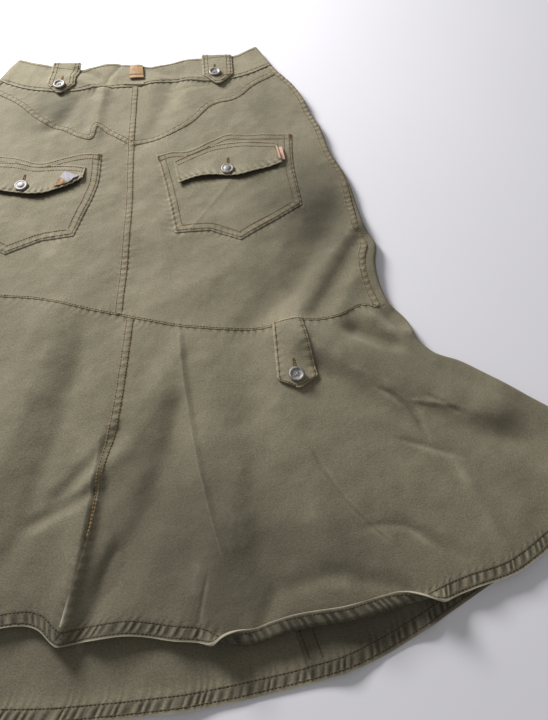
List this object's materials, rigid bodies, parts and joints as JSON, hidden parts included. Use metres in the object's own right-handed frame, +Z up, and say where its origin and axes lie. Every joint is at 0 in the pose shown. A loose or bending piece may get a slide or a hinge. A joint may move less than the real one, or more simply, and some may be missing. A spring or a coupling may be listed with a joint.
{
  "type": "cargo utility skirt, laid flat",
  "caption": "Flared cotton twill skirt laid flat with its back up: patch pockets with buttoned flaps, V yoke, tabs and a flounce with a turned hem.",
  "frame": {"origin": "centre of the laid skirt's box, on the surface it lies on", "axes": "+Z up from the surface, +Y towards the waist, +X to the right seen from above with the waist away from the viewer"},
  "size_m": [0.9166, 0.7115, 0.0197],
  "materials": {
    "twill": "washed khaki cotton twill, matt, worn lighter on seam edges",
    "leather": "tan, soft sheen",
    "ribbon": "salmon woven ribbon",
    "label": "woven label, plain",
    "metal": "aged silver"
  },
  "bodies": {
    "root": {"waistband": "twill", "yoke_left": "twill", "yoke_right": "twill", "back_left": "twill", "back_right": "twill", "front_left": "twill", "front_right": "twill", "flounce_back_left": "twill", "flounce_back_right": "twill", "flounce_front_left": "twill", "flounce_front_centre": "twill", "flounce_front_right": "twill", "pocket_left": "twill", "pocket_right": "twill", "pocket_flap_left": "twill", "pocket_flap_right": "twill", "waist_tab_left": "twill", "waist_tab_right": "twill", "flounce_tab_left": "twill", "flounce_tab_right": "twill", "fly_shield": "twill", "loop_bar": "twill", "centre_loop": "leather", "flap_tag_right": "ribbon", "flap_label_left": "label", "waist_button_left": "metal", "waist_button_right": "metal", "flounce_button_left": "metal", "flounce_button_right": "metal", "pocket_button_left": "metal", "pocket_button_right": "metal", "waist_hook": "metal"}
  },
  "joints": []
}
